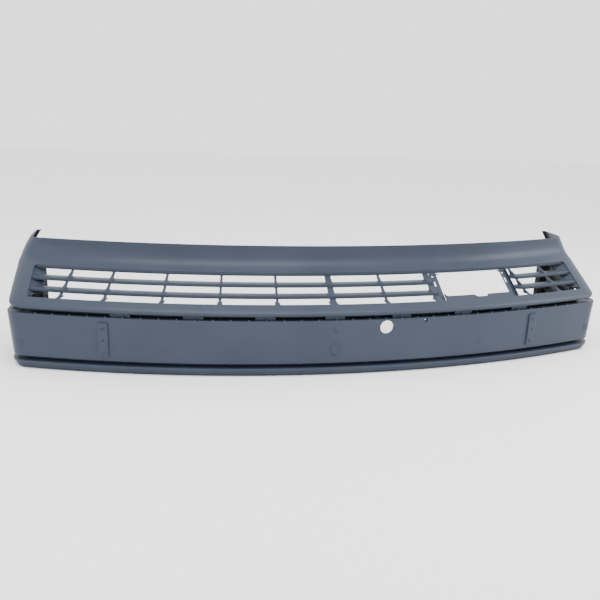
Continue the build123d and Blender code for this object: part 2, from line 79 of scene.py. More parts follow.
class NodeSheet:
    """Small helper that lays out one material's nodes and links."""

    def __init__(self, name: str) -> None:
        """Start an empty material with an output, a shader and object coordinates.

        Args:
            name: name of the new material.
        """
        self.material = bpy.data.materials.new(name)
        self.material.use_nodes = True
        self.nodes = self.material.node_tree.nodes
        self.links = self.material.node_tree.links
        self.nodes.clear()
        self.shader = self.nodes.new("ShaderNodeBsdfPrincipled")
        output = self.nodes.new("ShaderNodeOutputMaterial")
        self.links.new(self.shader.outputs["BSDF"], output.inputs["Surface"])
        self.coords = self.nodes.new("ShaderNodeTexCoord").outputs["Object"]

    def noise(self, scale: float, detail: float = 3.0, stretch: Sequence[float] = (1, 1, 1)):
        """Noise on object coordinates.

        Args:
            scale: cells per metre.
            detail: octaves.
            stretch: scale of each axis, for drawn or brushed marks.

        Returns:
            The noise value's output socket.
        """
        mapping = self.nodes.new("ShaderNodeMapping")
        mapping.inputs["Scale"].default_value = stretch
        self.links.new(self.coords, mapping.inputs["Vector"])
        noise = self.nodes.new("ShaderNodeTexNoise")
        noise.inputs["Scale"].default_value = scale
        noise.inputs["Detail"].default_value = detail
        self.links.new(mapping.outputs["Vector"], noise.inputs["Vector"])
        return noise.outputs["Fac"]

    def cells(self, scale: float):
        """Distance to the nearest of a set of scattered points, for moulded grain.

        Args:
            scale: cells per metre.

        Returns:
            The distance output socket.
        """
        cells = self.nodes.new("ShaderNodeTexVoronoi")
        cells.inputs["Scale"].default_value = scale
        self.links.new(self.coords, cells.inputs["Vector"])
        return cells.outputs["Distance"]

    def ramp(self, value, stops: Sequence[tuple]):
        """Colour ramp over a value.

        Args:
            value: socket that drives the ramp.
            stops: (position, (r, g, b)) pairs in linear light.

        Returns:
            The ramp's colour socket.
        """
        ramp = self.nodes.new("ShaderNodeValToRGB")
        band = ramp.color_ramp
        band.elements[0].position, band.elements[1].position = stops[0][0], stops[-1][0]
        band.elements[0].color = (*stops[0][1], 1.0)
        band.elements[1].color = (*stops[-1][1], 1.0)
        for position, colour in stops[1:-1]:
            band.elements.new(position).color = (*colour, 1.0)
        self.links.new(value, ramp.inputs["Fac"])
        return ramp.outputs["Color"]

    def spread(self, value, low: float, high: float):
        """Map a 0 to 1 value onto a range.

        Args:
            value: socket to map.
            low: result where the value is 0.3.
            high: result where the value is 0.7.

        Returns:
            The mapped socket.
        """
        mapped = self.nodes.new("ShaderNodeMapRange")
        for key, number in (("From Min", 0.3), ("From Max", 0.7), ("To Min", low), ("To Max", high)):
            mapped.inputs[key].default_value = number
        self.links.new(value, mapped.inputs["Value"])
        return mapped.outputs["Result"]

    def mix(self, factor, first, second):
        """Blend two colours by a factor socket.

        Args:
            factor: 0 to 1 socket.
            first: colour socket at 0.
            second: colour socket at 1.

        Returns:
            The blended colour socket.
        """
        mix = self.nodes.new("ShaderNodeMix")
        mix.data_type = "RGBA"
        self.links.new(factor, mix.inputs["Factor"])
        self.links.new(first, mix.inputs[6])
        self.links.new(second, mix.inputs[7])
        return mix.outputs[2]

    def bump(self, heights: Sequence[tuple]) -> None:
        """Stack bumps on the shader's normal.

        Args:
            heights: (socket, strength, distance in metres) for each bump, coarse first.
        """
        normal = None
        for socket, strength, distance in heights:
            bump = self.nodes.new("ShaderNodeBump")
            bump.inputs["Strength"].default_value = strength
            bump.inputs["Distance"].default_value = distance
            self.links.new(socket, bump.inputs["Height"])
            if normal is not None:
                self.links.new(normal, bump.inputs["Normal"])
            normal = bump.outputs["Normal"]
        self.links.new(normal, self.shader.inputs["Normal"])


@dataclass(frozen=True)
class Primer:
    """Satin blue-grey factory primer with faint clouding, spray texture and settled dust."""

    name: str = "satin_primer"
    dark: tuple = (0.023, 0.032, 0.050)
    light: tuple = (0.029, 0.039, 0.060)
    dust: tuple = (0.046, 0.054, 0.068)
    roughness: float = 0.40
    orange_peel: float = 0.05

    def build(self) -> bpy.types.Material:
        """Clouded colour, speckled dust, varying gloss and a fine sprayed bump."""
        sheet = NodeSheet(self.name)
        cloud = sheet.ramp(sheet.noise(5.0, 2.0), [(0.3, self.dark), (0.7, self.light)])
        dusty = sheet.ramp(sheet.noise(1400.0, 2.0), [(0.60, (0, 0, 0)), (0.78, (0.55, 0.55, 0.55))])
        patch = sheet.ramp(sheet.noise(1.0, 1.0), [(0.0, self.dust), (1.0, self.dust)])
        colour = sheet.mix(dusty, cloud, patch)
        sheet.links.new(colour, sheet.shader.inputs["Base Color"])
        gloss = sheet.spread(sheet.noise(24.0, 4.0), self.roughness - 0.03, self.roughness + 0.04)
        sheet.links.new(gloss, sheet.shader.inputs["Roughness"])
        sheet.shader.inputs["Specular IOR Level"].default_value = 0.2
        sheet.shader.inputs["Coat Weight"].default_value = 0.03
        sheet.shader.inputs["Coat Roughness"].default_value = 0.32
        sheet.bump([(sheet.noise(9.0, 1.0), 0.10, 0.0006), (sheet.noise(420.0, 2.0), self.orange_peel, 0.0004)])
        return sheet.material


@dataclass(frozen=True)
class GrainedPlastic:
    """Black moulded plastic with a pebbled grain and grey scuffs."""

    name: str = "grained_black_plastic"
    dark: tuple = (0.010, 0.010, 0.011)
    scuffed: tuple = (0.050, 0.050, 0.052)

    def build(self) -> bpy.types.Material:
        """Black base, scuffs where a stretched noise peaks, and a pebbled bump."""
        sheet = NodeSheet(self.name)
        scuff = sheet.noise(60.0, 6.0, (1.0, 0.35, 1.6))
        sheet.links.new(sheet.ramp(scuff, [(0.52, self.dark), (0.80, self.scuffed)]),
                        sheet.shader.inputs["Base Color"])
        sheet.links.new(sheet.spread(scuff, 0.46, 0.66), sheet.shader.inputs["Roughness"])
        sheet.bump([(sheet.cells(900.0), 0.35, 0.0003)])
        return sheet.material


@dataclass(frozen=True)
class ZincPlate:
    """Dull zinc plating with drawn marks and blotches."""

    name: str = "zinc_plate"
    dark: tuple = (0.30, 0.30, 0.31)
    light: tuple = (0.50, 0.50, 0.50)

    def build(self) -> bpy.types.Material:
        """Blotched grey metal with long drawn lines in its gloss and bump."""
        sheet = NodeSheet(self.name)
        sheet.shader.inputs["Metallic"].default_value = 1.0
        sheet.links.new(sheet.ramp(sheet.noise(90.0, 4.0), [(0.35, self.dark), (0.65, self.light)]),
                        sheet.shader.inputs["Base Color"])
        drawn = sheet.noise(500.0, 3.0, (1.0, 1.0, 0.04))
        sheet.links.new(sheet.spread(drawn, 0.34, 0.52), sheet.shader.inputs["Roughness"])
        sheet.bump([(drawn, 0.12, 0.0002)])
        return sheet.material


class Finishes:
    """The finishes by slot, built once."""

    def __init__(self) -> None:
        """Build each finish."""
        self.by_slot = {Slot.PRIMER: Primer().build(),
                        Slot.FIXING: Primer("primed_fixing", roughness=0.36, orange_peel=0.03).build(),
                        Slot.PLASTIC: GrainedPlastic().build(),
                        Slot.ZINC: ZincPlate().build()}

    def dress(self, piece: bpy.types.Object, slot: Slot) -> None:
        """Put a slot's finish on a piece or a CAD node.

        Args:
            piece: object to dress.
            slot: slot whose finish it takes.
        """
        piece.data.materials.clear()
        piece.data.materials.append(self.by_slot[slot])


# ---------------------------------------------------------------- meshes
def smoothstep(t: Array) -> Array:
    """3t^2 - 2t^3, held at 0 and 1 outside the unit interval."""
    t = np.clip(t, 0.0, 1.0)
    return t * t * (3 - 2 * t)


def grid_faces(rows: int, columns: int, around: bool = False, keep: Optional[Array] = None) -> Array:
    """Quads of a grid whose vertices run row by row.

    Args:
        rows: number of vertex rows.
        columns: number of vertex columns.
        around: whether the last column joins the first.
        keep: mask of the (rows - 1, columns - 1) cells to make.

    Returns:
        Vertex numbers, four to a face.
    """
    across = columns if around else columns - 1
    row, column = np.meshgrid(np.arange(rows - 1), np.arange(across), indexing="ij")
    after = (column + 1) % columns
    quads = np.stack([row * columns + column, row * columns + after,
                      (row + 1) * columns + after, (row + 1) * columns + column], axis=-1)
    return quads[keep] if keep is not None else quads.reshape(-1, 4)


def rounded(section: Array, radius: float, steps: int = 4) -> Array:
    """Closed polygon with each corner replaced by a quadratic curve.

    The curve runs from a point short of the corner to a point past it, with the corner as its
    control point: (1-s)^2 A + 2s(1-s) P + s^2 C.

    Args:
        section: (n, 2) corners in order.
        radius: how far short of the corner the curve starts, at most 0.45 of an edge.
        steps: points on each corner's curve.

    Returns:
        (n * steps, 2) points.
    """
    section = np.asarray(section, float)
    before = np.roll(section, 1, axis=0) - section
    after = np.roll(section, -1, axis=0) - section
    reach_in = np.minimum(radius, 0.45 * np.linalg.norm(before, axis=1))[:, None]
    reach_out = np.minimum(radius, 0.45 * np.linalg.norm(after, axis=1))[:, None]
    start = section + before / np.linalg.norm(before, axis=1)[:, None] * reach_in
    end = section + after / np.linalg.norm(after, axis=1)[:, None] * reach_out
    s = np.linspace(0.0, 1.0, steps)[None, :, None]
    curve = (1 - s) ** 2 * start[:, None] + 2 * s * (1 - s) * section[:, None] + s**2 * end[:, None]
    return curve.reshape(-1, 2)


class Mesher:
    """Collects patches of vertices and faces in millimetres and makes one piece of them."""

    def __init__(self, name: str) -> None:
        """Start an empty piece.

        Args:
            name: name of the piece.
        """
        self.name = name
        self.vertices: list = []
        self.faces: list = []
        self.count = 0

    def grid(self, points: Array, around: bool = False, keep: Optional[Array] = None,
             capped: bool = False) -> "Mesher":
        """Add a grid of points.

        Args:
            points: (rows, columns, 3) in millimetres.
            around: whether the last column joins the first.
            keep: mask of cells to make.
            capped: whether the first and last rows are closed with a face each.

        Returns:
            This mesher.
        """
        rows, columns = points.shape[:2]
        faces = (grid_faces(rows, columns, around, keep) + self.count).tolist()
        if capped:
            first = np.arange(columns) + self.count
            faces += [first[::-1].tolist(), (first + (rows - 1) * columns).tolist()]
        self.vertices.append(points.reshape(-1, 3))
        self.faces += faces
        self.count += rows * columns
        return self

    def make(self, outward: Optional[Sequence[float]] = None, merge: float = 0.02,
             sharp: float = 42.0) -> bpy.types.Object:
        """Turn the patches into one object with merged seams and outward normals.

        Args:
            outward: direction most faces look in, for an open sheet.
            merge: distance in millimetres under which vertices are joined.
            sharp: angle in degrees above which an edge is shaded sharp.

        Returns:
            The new object, at the origin.
        """
        mesh = bpy.data.meshes.new(self.name)
        mesh.from_pydata((np.concatenate(self.vertices) * MM).tolist(), [], self.faces)
        work = bmesh.new()
        work.from_mesh(mesh)
        bmesh.ops.remove_doubles(work, verts=work.verts, dist=merge * MM)
        bmesh.ops.delete(work, geom=[v for v in work.verts if not v.link_faces], context="VERTS")
        bmesh.ops.recalc_face_normals(work, faces=work.faces)
        if outward is not None:
            towards = Vector(outward)
            if sum(f.normal.dot(towards) * f.calc_area() for f in work.faces) < 0:
                bmesh.ops.reverse_faces(work, faces=work.faces)
        work.to_mesh(mesh)
        work.free()
        mesh.polygons.foreach_set("use_smooth", np.ones(len(mesh.polygons), bool))
        mesh.set_sharp_from_angle(angle=np.radians(sharp))
        piece = bpy.data.objects.new(self.name, mesh)
        bpy.context.scene.collection.objects.link(piece)
        return piece


def thicken(piece: bpy.types.Object, wall: float, even: bool = True) -> None:
    """Give a sheet a wall inwards.

    Args:
        piece: open sheet whose normals point outwards.
        wall: thickness in millimetres.
        even: whether corners are pushed out to keep the wall even.
    """
    solid = piece.modifiers.new("wall", "SOLIDIFY")
    solid.thickness = wall * MM
    solid.offset = -1.0
    solid.use_even_offset = even
    solid.use_quality_normals = even


def soften(piece: bpy.types.Object, width: float, angle: float = 50.0, segments: int = 2) -> None:
    """Round the edges sharper than an angle.

    Args:
        piece: object to soften.
        width: width of the rounding in millimetres.
        angle: least angle between faces, in degrees.
        segments: facets across the rounding.
    """
    bevel = piece.modifiers.new("soft_edges", "BEVEL")
    bevel.width = width * MM
    bevel.segments = segments
    bevel.limit_method = "ANGLE"
    bevel.angle_limit = np.radians(angle)
    bevel.harden_normals = True


def settle(piece: bpy.types.Object, slot: Slot, finishes: Finishes, *nodes: str) -> None:
    """Dress a piece, let it ride on the body and stand for its CAD nodes.

    Args:
        piece: finished piece.
        slot: slot whose finish it takes.
        finishes: the finishes.
        nodes: CAD nodes it replaces.
    """
    finishes.dress(piece, slot)
    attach(piece, "root")
    if nodes:
        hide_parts(*nodes)
    piece.data.update()
    LOG.info("%s: %d faces, stands for %s", piece.name, len(piece.data.polygons), ", ".join(nodes) or "-")


# ---------------------------------------------------------------- the bow
@dataclass(frozen=True)
class Bow:
    """The vertical axis that the front is bowed about, and the plan outline built on it."""

    radius: float = 2950.0
    face_y: float = -225.5
    rear_y: float = 229.5
    front_steps: int = 60
    corner_steps: int = 14
    side_steps: int = 6

    @property
    def axis_y(self) -> float:
        """y of the bow's axis."""
        return self.face_y + self.radius

    def at(self, angle: Array, setback: Array, z: Array) -> Array:
        """Points at an angle about the axis: (r sin a, axis - r cos a, z) with r = radius - setback."""
        r = self.radius - np.asarray(setback, float)
        parts = np.broadcast_arrays(r * np.sin(angle), self.axis_y - r * np.cos(angle), z)
        return np.stack(parts, axis=-1)

    def at_x(self, x: Array, setback: Array, z: Array) -> Array:
        """Points at an x: y = axis - sqrt(r^2 - x^2) with r = radius - setback."""
        r = self.radius - np.asarray(setback, float)
        x = np.asarray(x, float)
        return np.stack(np.broadcast_arrays(x, self.axis_y - np.sqrt(r**2 - x**2), z), axis=-1)

    def angle(self, x: Array, setback: Array = 0.0) -> Array:
        """Angle in radians at which a setback reaches an x."""
        return np.arcsin(np.asarray(x, float) / (self.radius - np.asarray(setback, float)))

    def outline(self, rows: Array, back: float, split: Optional[Array] = None) -> Array:
        """Plan outlines at several heights: bowed front, rounded corners and straight sides.

        The right half runs from the centre line along the front to the split, on to the corner,
        round it and back along the side; the left half is its mirror image.

        Args:
            rows: (n, 4) rows of height, setback, half width and corner radius.
            back: y at which the sides end.
            split: (n,) x of a column that the opening's end follows, or None.

        Returns:
            (n, columns, 3) points from the left rear end to the right rear end.
        """
        z, setback, half_width, corner = (column[:, None] for column in np.asarray(rows, float).T)
        cx = half_width - corner
        reach = self.radius - setback - corner
        cy = self.axis_y - np.sqrt(reach**2 - cx**2)
        turn = np.arcsin(cx / reach)
        edge_x = (cx * 0.985 if split is None else np.asarray(split, float)[:, None])
        edge = np.minimum(np.arcsin(edge_x / (self.radius - setback)), turn)
        front = edge * np.linspace(0, 1, self.front_steps + 1)
        rest = edge + (turn - edge) * np.linspace(0, 1, 4)[1:]
        bend = turn + (np.pi / 2 - turn) * np.linspace(0, 1, self.corner_steps + 1)[1:]
        along = np.linspace(0, 1, self.side_steps + 1)[1:]
        flat = self.at(np.concatenate([front, rest], axis=1), setback, z)
        height = np.broadcast_to(z, bend.shape)
        round_off = np.stack([cx + corner * np.sin(bend), cy - corner * np.cos(bend), height], axis=-1)
        side_y = cy + (back - cy) * along
        side = np.stack([np.broadcast_to(half_width, side_y.shape), side_y,
                         np.broadcast_to(z, side_y.shape)], axis=-1)
        right = np.concatenate([flat, round_off, side], axis=1)
        left = right[:, :0:-1] * np.array([-1.0, 1.0, 1.0])
        return np.concatenate([left, right], axis=1)

    @property
    def split_columns(self) -> tuple:
        """Columns of an outline that follow the split on the left and on the right."""
        middle = self.front_steps + 3 + self.corner_steps + self.side_steps
        return middle - self.front_steps, middle + self.front_steps

    def bar(self, name: str, section: Sequence[tuple], start: float, end: float, radius: float = 0.8,
            steps: int = 12) -> Mesher:
        """Closed bar: a rounded (setback, height) section carried between two angles.

        Args:
            name: name of the piece.
            section: corners of the section.
            start: first angle in radians.
            end: last angle in radians.
            radius: rounding of the section's corners.
            steps: stations along the bar.

        Returns:
            The mesher that holds the bar.
        """
        loop = rounded(np.array(section), radius)
        angles = np.linspace(start, end, steps + 1)[:, None]
        return Mesher(name).grid(self.at(angles, loop[:, 0], loop[:, 1]), around=True, capped=True)


BOW = Bow()


def pierced_patch(half: tuple, core: tuple, radius: float, per_side: int = 12, rings: int = 4) -> Array:
    """Flat patch from a rectangle's edge in to a rounded hole.

    A rectangle point b looks at the nearest point q of the hole's core; the hole's edge there is
    q + radius (b - q) / |b - q|, and the rings lie evenly between the two.

    Args:
        half: half width and half height of the rectangle.
        core: half width and half height of the core; (0, 0) makes a circle.
        radius: corner radius of the hole.
        per_side: points on each side of the rectangle.
        rings: cells between the rectangle and the hole.

    Returns:
        (rings + 1, 4 * per_side, 2) points about the hole's centre.
    """
    t = np.linspace(-1, 1, per_side, endpoint=False)
    one = np.ones_like(t)
    sides = [np.stack([t, -one], -1), np.stack([one, t], -1), np.stack([-t, one], -1), np.stack([-one, -t], -1)]
    border = np.concatenate(sides) * np.array(half)
    nearest = np.clip(border, -np.array(core), np.array(core))
    away = border - nearest
    hole = nearest + radius * away / np.linalg.norm(away, axis=1)[:, None]
    share = np.linspace(0, 1, rings + 1)[:, None, None]
    return border + (hole - border) * share


# ---------------------------------------------------------------- shell
@dataclass
class ValanceShell:
    """Chin panel, wings and bulge: one moulded skin with the slatted opening left out of it."""

    finishes: Finishes
    wall: float = 3.0
    half_width: float = 924.0
    corner: float = 62.0
    bulge_bottom: float = 178.0
    bulge_height: float = 29.0
    louvre_bottom: float = 207.0
    louvre_top: float = 273.0
    height: float = 345.0
    louvre_front: float = 29.0
    louvre_back: float = 142.0
    chin_setback: float = 185.0
    opening_half: float = 864.0
    opening_corner: float = 9.0
    ledge_depth: float = 34.0
    rim_drop: float = 11.0
    flange: float = 14.0
    bulge_rows: tuple = ((0.0, 0.17, 11.0), (0.14, 0.03, 7.0), (0.31, 0.02, 5.0), (0.52, 0.21, 4.0),
                         (0.76, 0.59, 4.0), (1.0, 1.0, 4.0))
    chin_rows: tuple = ((0.0, 0.0, 6.0), (0.11, 0.35, 8.0), (0.24, 0.63, 10.5), (0.42, 0.84, 15.5),
                        (0.65, 0.95, 23.5), (1.0, 1.0, 40.0))

    @staticmethod
    def flowing(keys: Array, steps: int) -> Array:
        """Cubic curve through key rows, with each tangent taken from the neighbours.

        Args:
            keys: (n, k) rows.
            steps: stations between one key and the next.

        Returns:
            (steps * (n - 1) + 1, k) rows.
        """
        length = np.concatenate([[0.0], np.cumsum(np.linalg.norm(np.diff(keys, axis=0), axis=1))])
        slope = np.gradient(keys, length, axis=0)
        where = np.interp(np.linspace(0, len(keys) - 1, steps * (len(keys) - 1) + 1),
                          np.arange(len(keys)), length)
        cell = np.clip(np.searchsorted(length, where, side="right") - 1, 0, len(keys) - 2)
        span = (length[cell + 1] - length[cell])[:, None]
        t = ((where - length[cell])[:, None]) / span
        h00, h10 = 2 * t**3 - 3 * t**2 + 1, t**3 - 2 * t**2 + t
        h01, h11 = -2 * t**3 + 3 * t**2, t**3 - t**2
        return (h00 * keys[cell] + h10 * span * slope[cell] + h01 * keys[cell + 1]
                + h11 * span * slope[cell + 1])

    def profile(self) -> tuple:
        """Rows of height, setback, half width and corner radius from the ledge up to the chin's edge.

        Returns:
            The rows, and the numbers of the rows at the opening's lower and upper edge.
        """
        bulge = np.array([(self.bulge_bottom + up * self.bulge_height, back * self.louvre_front,
                           self.half_width - inset, self.corner) for up, back, inset in self.bulge_rows])
        run = self.chin_setback - self.louvre_back
        rise = self.height - self.louvre_top
        chin = np.array([(self.louvre_top + up * rise, self.louvre_back + back * run,
                          self.half_width - inset, self.corner) for up, back, inset in self.chin_rows])
        ledge = bulge[0] + np.array([0.0, 1.0, -1.0, -1.0]) * np.array([[self.ledge_depth], [1.5]])
        ledge[:, 3] = np.maximum(ledge[:, 3], 4.0)
        low = self.flowing(bulge, 5)
        high = self.flowing(chin, 5)
        share = np.linspace(0, 1, 17)[1:-1, None]
        ease = np.concatenate([share, share, smoothstep(share), share], axis=1)
        middle = low[-1] + (high[0] - low[-1]) * ease
        rows = np.concatenate([ledge, low, middle, high])
        return rows, len(ledge) + len(low) - 1, len(ledge) + len(low) + len(middle)

    def opening_edge(self, rows: Array, low: int, high: int) -> Array:
        """x of the opening's end at each row, drawn in by a quarter circle at its upper corner.

        Args:
            rows: profile rows.
            low: row of the opening's lower edge; not used.
            high: row of the opening's upper edge; not used.

        Returns:
            (n,) x of the split column.
        """
        climb = np.clip((rows[:, 0] - self.louvre_bottom) / (self.louvre_top - self.louvre_bottom), 0, 1)
        slope_length = np.hypot(self.louvre_top - self.louvre_bottom, self.louvre_back - self.louvre_front)
        short = np.clip(1 - (1 - climb) * slope_length / (1.6 * self.opening_corner), 0, 1)
        edge = self.opening_half - self.opening_corner * (1 - np.sqrt(1 - short**2))
        fade = np.clip((rows[:, 0] - self.louvre_top) / (self.height - self.louvre_top), 0, 1)
        return np.minimum(edge, rows[:, 2] - 56 - 14 * fade)

    def skin(self) -> bpy.types.Object:
        """The shell's skin without the cells of the slatted opening and of the ledge's rear runs."""
        rows, low, high = self.profile()
        points = BOW.outline(rows, BOW.rear_y, self.opening_edge(rows, low, high))
        left, right = BOW.split_columns
        row = np.arange(len(rows) - 1)[:, None]
        column = np.arange(points.shape[1] - 1)[None, :]
        opening = (row >= low) & (row < high) & (column >= left) & (column < right)
        run = BOW.side_steps
        ledge_end = (row < 2) & ((column < run - 1) | (column >= points.shape[1] - run))
        piece = Mesher("shell_skin").grid(points, keep=~(opening | ledge_end)).make((0.0, -1.0, 0.35), 0.02, 60)
        thicken(piece, self.wall)
        soften(piece, 0.9, 55)
        return piece

    def rim(self) -> bpy.types.Object:
        """Rim turned down along the chin panel's lower edge."""
        top = self.louvre_top + 1.0
        low = self.louvre_top - self.rim_drop
        section = [(self.louvre_back, low), (self.louvre_back, top), (self.louvre_back + 3.0, top + 1.5),
                   (self.louvre_back + 3.0, low)]
        reach = BOW.angle(self.opening_half - 2.0, self.louvre_back)
        piece = BOW.bar("chin_rim_strip", section, -reach, reach, 1.2, 100).make()
        soften(piece, 0.8, 60)
        return piece

    def tip_flange(self, name: str, side: float) -> bpy.types.Object:
        """Flange turned in along a wing's rear edge.

        Each row is a straight strip from the wing's skin to tip_flange inside it, at the rear.

        Args:
            name: name of the piece.
            side: -1 for the left, 1 for the right.

        Returns:
            The flange.
        """
        rows = self.profile()[0][2:, :, None]
        inward = np.linspace(1.0, self.flange, 5)
        x = side * (rows[:, 2] - inward)
        z = rows[:, 0] + 0 * inward
        points = np.stack([x, np.full_like(x, BOW.rear_y - 0.2), z], -1)
        piece = Mesher(name).grid(points).make((0.0, 1.0, 0.0))
        thicken(piece, self.wall - 0.5)
        soften(piece, 0.6, 60)
        return piece

    def build(self) -> None:
        """Make the skin, the rim and the flanges on the wings' tips."""
        for side, word in ((-1.0, "left"), (1.0, "right")):
            settle(self.tip_flange(f"tip_flange_{word}", side), Slot.PRIMER, self.finishes)
        settle(self.skin(), Slot.PRIMER, self.finishes, "chin_panel", "bulge", "bulge_ledge", "wing_left",
               "wing_right")
        settle(self.rim(), Slot.PRIMER, self.finishes, "chin_rim")


# ---------------------------------------------------------------- louvres
@dataclass
class Louvres:
    """Blades, webs and end pockets of the slatted opening."""

    finishes: Finishes
    bottom: float = 207.0
    top: float = 273.0
    front: float = 29.0
    back: float = 142.0
    opening_half: float = 864.0
    first_rise: float = 17.2
    rise: float = 23.3
    depth: float = 33.0
    nose: float = 9.5
    tail: float = 4.0
    rim_drop: float = 11.0
    bays: float = 5.55
    end_bay: float = 0.765
    web: float = 7.0
    wide_web: float = 18.0
    web_fillet: float = 4.0
    web_top: float = 3.5
    pocket_draw: float = 30.0
    pocket_depth: float = 46.0
    tow_gap: float = 12.0
    tow_frame: float = 24.0
    tow_width: float = 234.0
    tow_web_gap: float = 17.0
    tip_length: float = 34.0
    tip_setback: float = 20.0

    @property
    def pitch(self) -> float:
        """Angle from one web to the next."""
        return float(BOW.angle(self.opening_half, self.back)) / self.bays

    @property
    def frame_left(self) -> float:
        """x where the towing-eye opening's left frame starts."""
        return (BOW.radius - self.back) * np.sin(2 * self.pitch) + self.tow_gap

    @property
    def frame_right(self) -> float:
        """x where the towing-eye opening's right frame ends."""
        return self.frame_left + 2 * self.tow_frame + self.tow_width

    def setback(self, z: float) -> float:
        """Setback of the sloping louvre face at a height."""
        return self.front + (z - self.bottom) * (self.back - self.front) / (self.top - self.bottom)

    def noses(self) -> list:
        """(setback, height) of each blade's upper front edge."""
        heights = [self.bottom + self.first_rise, self.bottom + self.first_rise + self.rise]
        return [(self.setback(z), z) for z in heights]

    def blade(self, name: str, index: int, x0: float, x1: float, pointed: bool) -> bpy.types.Object:
        """One blade: a wedge section carried along the bow.

        Where the blade is pointed its front edge is set back near its first end by
        tip_setback (1 - s / tip_length), so that it meets the wall at a slant.

        Args:
            name: name of the piece.
            index: 0 for the lower blade, 1 for the upper one.
            x0: where it starts.
            x1: where it ends.
            pointed: whether its first end is slanted.

        Returns:
            The blade.
        """
        nose, top = self.noses()[index]
        tail = nose + self.depth
        section = np.array([(nose, top - self.nose), (nose + 0.4, top), (tail, top - 0.6),
                            (tail, top - self.tail)])
        loop = rounded(section, 1.3, 5)
        x = np.linspace(x0, x1, 90 if x1 - x0 > 500 else 60)
        slant = np.clip(1 - (x - x0) / self.tip_length, 0, 1) * (self.tip_setback if pointed else 0.0)
        share = np.clip((tail - loop[:, 0]) / self.depth, 0, 1)
        setback = loop[None, :, 0] + slant[:, None] * share[None, :]
        points = BOW.at(BOW.angle(x, nose)[:, None], setback, loop[None, :, 1])
        piece = Mesher(name).grid(points, around=True, capped=True).make()
        return piece

    def fin(self, mesher: Mesher, angle: float, half: float, low: tuple, high: tuple, depth: tuple) -> None:
        """One web between two levels, a gusset whose rear edge is nearly upright.

        A rounded rectangle is carried up the slope; its half thickness is
        half + fillet (1 - d / fillet)^2 within a fillet's distance d of either end.

        Args:
            mesher: mesher that takes the fin.
            angle: angle about the bow's axis.
            half: half thickness.
            low: (setback, height) of its lower front corner.
            high: (setback, height) of its upper front corner.
            depth: how far it runs back at its foot and at its top.
        """
        share = (1 - np.cos(np.linspace(0, np.pi, 17))) / 2
        length = np.hypot(high[0] - low[0], high[1] - low[1])
        to_end = np.minimum(share, 1 - share) * length
        grow = self.web_fillet * np.clip(1 - to_end / (1.5 * self.web_fillet), 0, 1) ** 2
        wide = (half + grow)[:, None]
        corner = np.array([[-1, -1], [1, -1], [1, 1], [-1, 1]])
        turn = np.linspace(0, np.pi / 2, 4)
        start = np.array([np.pi, 1.5 * np.pi, 0.0, 0.5 * np.pi])
        phi = (start[:, None] + turn[None, :]).reshape(-1)
        sign = np.repeat(corner, len(turn), axis=0)
        r = min(1.2, 0.4 * half)
        deep = (depth[0] + (depth[1] - depth[0]) * share[:, None]) / 2
        run = deep + sign[None, :, 0] * (deep - r) + r * np.cos(phi)[None, :]
        across = sign[None, :, 1] * (wide - r) + r * np.sin(phi)[None, :]
        setback = low[0] + (high[0] - low[0]) * share[:, None] + run
        z = low[1] + (high[1] - low[1]) * share[:, None] + 0 * run
        mesher.grid(BOW.at(angle + across / (BOW.radius - setback), setback, z), around=True, capped=True)

    def web_piece(self, name: str, angle: float, thickness: float) -> bpy.types.Object:
        """The three fins of one web.

        Args:
            name: name of the piece.
            angle: angle about the bow's axis.
            thickness: thickness of the fins.

        Returns:
            The web.
        """
        (s1, z1), (s2, z2) = self.noses()
        levels = [((self.front + 1.5, self.bottom - 1), (s1 + 1.5, z1 - self.nose + 1)),
                  ((s1 + 1.5, z1 - 1), (s2 + 1.5, z2 - self.nose + 1)),
                  ((s2 + 1.5, z2 - 1), (self.back + 0.5, self.top - self.rim_drop + 1))]
        mesher = Mesher(name)
        for low, high in levels:
            self.fin(mesher, angle, thickness / 2, low, high, (self.depth - 4, self.web_top))
        return mesher.make()

    def pocket(self, name: str, side: float) -> bpy.types.Object:
        """Slanting wall that closes the slatted opening's end.

        It starts on the opening's edge and runs back by the pocket's depth while it draws in
        towards the centre by pocket_draw (1 - cos(pi t / 2)); one fold crosses it diagonally.

        Args:
            name: name of the piece.
            side: -1 for the left, 1 for the right.

        Returns:
            The wall.
        """
        climb = np.linspace(0, 1, 25)[:, None]
        t = np.linspace(0, 1, 17)[None, :]
        z = self.bottom + climb * (self.top - self.bottom)
        edge = self.front + climb * (self.back - self.front)
        fold = np.clip(t - 0.35 - 0.4 * ((climb * 3) % 1.0), 0, 1) * 0.55
        x = self.opening_half + 0.5 - self.pocket_draw * (0.15 * t + 0.85 * t**1.6) - 10 * fold
        setback = edge + self.pocket_depth * t
        grid = BOW.at_x(side * x, setback, z + 0 * t)
        piece = Mesher(name).grid(grid).make((-side, -1.0, 0.0), 0.02, 30)
        thicken(piece, 2.2)
        soften(piece, 0.7, 60)
        return piece

